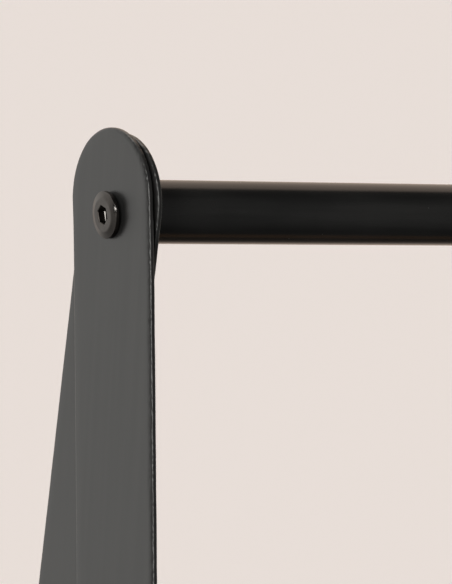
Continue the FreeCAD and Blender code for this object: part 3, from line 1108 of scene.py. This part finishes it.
def chamfered_nut(half_width, height, bore_radius):
    """A hexagon nut along Z, standing on the origin, with its corners turned off at both faces."""
    face_radius = half_width * nut_face_share
    mouth_radius = bore_radius + nut_mouth

    def corner_ring(from_bottom):
        def shape(angle):
            radius = half_width * six_sided(angle)
            drop = max(radius - face_radius, 0) * nut_corner_slope
            return radius, drop if from_bottom else height - drop
        return shape

    rings = [
        ring(bore_radius, nut_mouth), ring(mouth_radius, 0), ring(face_radius, 0), corner_ring(True),
        corner_ring(False), ring(face_radius, height), ring(mouth_radius, height),
        ring(bore_radius, height - nut_mouth),
    ]
    return to_mesh(ring_stack(rings, screw_sides, closed=True), "nut", sharp_from=20)


nut_half_width = 5 * MM
nut_height = 5 * MM
for shelf in SHELVES:
    inner_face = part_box(f"{shelf}_leg_nuts")[1].x - nut_height
    spots = fixing_places(f"{shelf}_leg_nuts", lambda end, leg: outward(end) * inner_face)
    nut = chamfered_nut(nut_half_width, nut_height, screw_radius)
    settle(copies(f"{shelf}_frame_nuts", nut, spots, zinc_plating), "rack", "zinc", f"{shelf}_leg_nuts")

# %% [markdown]
# ## Moulded plastic
# The spacers, the washers between the bars and the pads of the feet are moulded in black plastic.
# Its surface is duller than the coating and has the fine, even grain of the mould.

# %% Moulded plastic
mould_grain_scale = 1900.0
scuff_scale = (60, 60, 240)
mould_relief = 0.05 * MM
clean_moulding = (0.016, 0.016, 0.017, 1)
scuffed_moulding = (0.034, 0.033, 0.032, 1)


def moulded(name):
    """Black plastic with a fine mould grain and faint scuffs."""
    material, wire = new_finish(name)
    even = stretched(wire, (1, 1, 1))
    grain = cloud(wire, even, mould_grain_scale)
    scuffed = fade(cloud(wire, stretched(wire, scuff_scale), 1.0, 4.0), 0.55, 0.75)
    colour = mix_colour(wire, scuffed, clean_moulding, scuffed_moulding)
    surface(wire, colour, 0.46 + grain * 0.12 - scuffed * 0.06, raised(wire, grain, 0.5, mould_relief))
    print("finish:", name)
    return material


black_moulding = moulded("black_moulding")

# %% [markdown]
# ## Spacers
# The front bars stand a little further out than the rear ones, so a ring fills the space between a
# front bar and the shelf's frame.

# %% Spacers
spacer_bore = 3.2 * MM
spacer_chamfer = 0.4 * MM


def spacer(radius, length):
    """A ring along Z, standing on the origin, with its outer edges chamfered."""
    rings = [
        ring(spacer_bore, 0), ring(radius - spacer_chamfer, 0), ring(radius, spacer_chamfer),
        ring(radius, length - spacer_chamfer), ring(radius - spacer_chamfer, length),
        ring(spacer_bore, length),
    ]
    return to_mesh(ring_stack(rings, screw_sides, closed=True), "spacer", sharp_from=30)


for shelf in SHELVES:
    low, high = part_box(f"{shelf}_leg_spacers")
    spots = fixing_places(f"{shelf}_leg_spacers", lambda end, leg: outward(end) * rail_end, ("front",))
    ring_mesh = spacer((high.z - low.z) / 2, high.x - rail_end)
    spacers = copies(f"{shelf}_frame_spacers", ring_mesh, spots, black_moulding)
    settle(spacers, "rack", "moulding", f"{shelf}_leg_spacers")

# %% [markdown]
# ## Screws under the boards
# Six short screws with pan heads go up through each frame into its board. Their cross recess is one
# more ring, whose radius follows the arms of the cross.

# %% Board screws
pan_radius = 4 * MM
pan_height = 2.2 * MM
pan_shank = 2 * MM
pan_tip = 0.3 * MM
pan_point = 3 * MM
pan_sides = 64
round_steps = 12
cross_reach = 2.2 * MM
cross_half_arm = 0.55 * MM
cross_depth = 1.5 * MM
cross_taper = ((1.0, 0.0), (0.8, 0.6), (0.3, 1.0))
narrowest_angle = 0.01
columns_of_screws = 3


def cross(scale, z):
    """A ring along the outline of a cross."""
    def shape(angle):
        off_arm = abs((angle + math.pi / 4) % (math.pi / 2) - math.pi / 4)
        side = cross_half_arm / max(math.sin(off_arm), narrowest_angle)
        return min(cross_reach, side) * scale, z
    return shape


def pan_screw(length):
    """A pan-head screw along Z, its seat at the origin and its head upwards."""
    rings = [ring(pan_tip, -length), ring(pan_shank, -length + pan_point)]
    rings += [ring(pan_shank, 0), ring(pan_radius, 0)]
    half = pan_height / 2
    for sine, cosine in quarter_turn(round_steps):
        rings.append(ring(pan_radius - half + half * cosine, half + half * sine))
    for scale, share in cross_taper:
        rings.append(cross(scale, pan_height - cross_depth * share))
    return to_mesh(ring_stack(rings, pan_sides), "pan_screw", sharp_from=30)


for shelf in SHELVES:
    low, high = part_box(f"{shelf}_board_screws")
    seat = low.z + pan_height
    middle, span = (low.x + high.x) / 2, high.x - low.x - 2 * pan_radius
    spots = []
    for y in (low.y + pan_radius, high.y - pan_radius):
        for column in range(columns_of_screws):
            x = middle + span * (column / (columns_of_screws - 1) - 0.5)
            spots.append(Matrix.Translation((x, y, seat)) @ Matrix.Rotation(math.pi, 4, "X"))
    screws = copies(f"{shelf}_pan_screws", pan_screw(high.z - seat), each_turned(spots), zinc_plating)
    settle(screws, "rack", "zinc", f"{shelf}_board_screws")

# %% [markdown]
# ## Levelling feet
# Each foot is a threaded stud moulded into a plastic pad. The pad has finger grips round its side
# and a thin sole below a groove. Stud and pad travel together on the foot's own body, and the nut
# on the tab stays with the rack.

# %% Levelling feet
stud_radius = 4 * MM
stud_pitch = 1.25 * MM
foot_nut_half_width = 6.5 * MM
sole_height = 1.4 * MM
sole_inset = 1.2 * MM
pad_chamfer = 0.5 * MM
pad_round = 2 * MM
grip_count = 18
sides_per_grip = 8
grip_margin = 1.0 * MM
grip_depth = 0.7 * MM
grip_end = 1.2 * MM
pad_hole = 4.1 * MM
pad_mouth = pad_hole + 1.0 * MM


def gripped(radius, z, depth):
    """A ring with scallops for the fingers."""
    return lambda angle: (radius - depth * (0.5 + 0.5 * math.cos(grip_count * angle)) ** 2, z)


def foot_pad(radius, height):
    """The pad of a foot along Z, standing on the origin."""
    rings = [
        ring(radius - sole_inset - pad_chamfer, 0), ring(radius - sole_inset, pad_chamfer),
        ring(radius - sole_inset, sole_height), ring(radius - pad_chamfer, sole_height),
        ring(radius, sole_height + pad_chamfer),
    ]
    grip_low, grip_high = sole_height + grip_margin, height - pad_round
    for z, depth in ((grip_low, 0), (grip_low + grip_end, grip_depth),
                     (grip_high - grip_end, grip_depth), (grip_high, 0)):
        rings.append(gripped(radius, z, depth))
    for sine, cosine in quarter_turn(round_steps)[1:]:
        rings.append(ring(radius - pad_round + pad_round * cosine, height - pad_round + pad_round * sine))
    rings += [ring(pad_mouth, height), ring(pad_hole, height - pad_chamfer), ring(pad_hole, height / 2)]
    return ring_stack(rings, grip_count * sides_per_grip)


nut_places = []
nut_nodes = []
for leg in LEGS:
    for end in ENDS:
        body = f"{leg}_{end}_foot"
        low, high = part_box(f"{leg}_foot_pad_{end}")
        axis = Vector(((low.x + high.x) / 2, (low.y + high.y) / 2, 0))
        pad_bm = foot_pad((high.x - low.x) / 2, high.z)
        pad_mesh = to_mesh(pad_bm, f"{body}_pad", Matrix.Translation(axis), sharp_from=30)
        pad = add_object(f"{body}_pad", pad_mesh, black_moulding)
        settle(pad, body, "moulding", f"{leg}_foot_pad_{end}")
        low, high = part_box(f"{leg}_foot_stud_{end}")
        stud = threaded_rod(f"{body}_stud", stud_radius, stud_pitch, high.z - low.z, zinc_plating)
        stud.data.transform(Matrix.Translation(axis + Vector((0, 0, (low.z + high.z) / 2))))
        settle(stud, body, "zinc", f"{leg}_foot_stud_{end}")
        nut_low, nut_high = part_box(f"{leg}_foot_nut_{end}")
        nut_places.append(Matrix.Translation(axis + Vector((0, 0, nut_low.z))))
        nut_nodes.append(f"{leg}_foot_nut_{end}")

foot_nut = chamfered_nut(foot_nut_half_width, nut_high.z - nut_low.z, stud_radius)
settle(copies("foot_nuts", foot_nut, nut_places, zinc_plating), "rack", "zinc", *nut_nodes)

# %% [markdown]
# ## Solids that stay
# The washers between the bars and the plugs inside the rail have the right shape already, so their
# solids stay and only get their finish.

# %% Finishes on the kept solids
kept_finishes = {"leg_washer": black_moulding, "rail_insert": zinc_plating}
for end in ENDS:
    for kept, finish in kept_finishes.items():
        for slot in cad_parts[f"{kept}_{end}"].material_slots:
            slot.material = finish
showing = [name for name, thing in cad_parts.items() if not thing.hide_render]
print("solids that still show:", sorted(showing))
